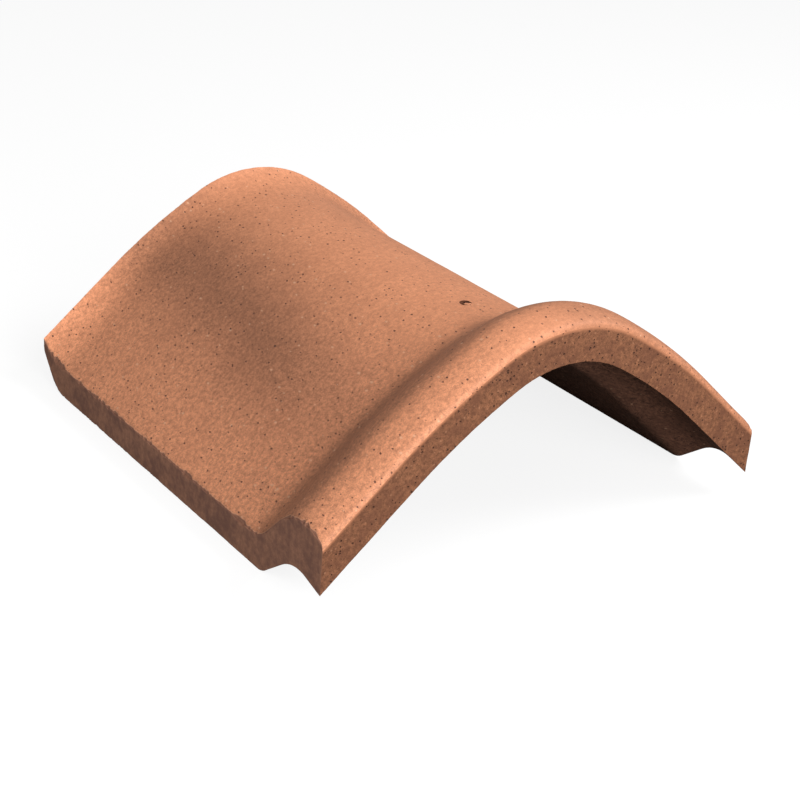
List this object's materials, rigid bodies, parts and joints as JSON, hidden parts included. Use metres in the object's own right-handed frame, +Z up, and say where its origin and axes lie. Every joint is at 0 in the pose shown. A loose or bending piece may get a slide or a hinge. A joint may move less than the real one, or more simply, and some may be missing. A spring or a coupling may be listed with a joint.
{
  "type": "ridge tile",
  "caption": "Arched clay ridge tile with a thick roll at one end, a thin flared tail at the other and a nail hole through the crown.",
  "frame": {"origin": "bottom centre of the tile's box: midway across the arch and midway along the ridge, on the level of the two lower edges it stands on", "axes": "+X across the ridge, +Y along the ridge from the rolled end to the flared tail, +Z up"},
  "size_m": [0.2746, 0.3, 0.128],
  "materials": {
    "fired_clay": "unglazed matt terracotta with a fine sandy grain"
  },
  "bodies": {
    "root": {"ridge_tile": "fired_clay"}
  },
  "joints": []
}
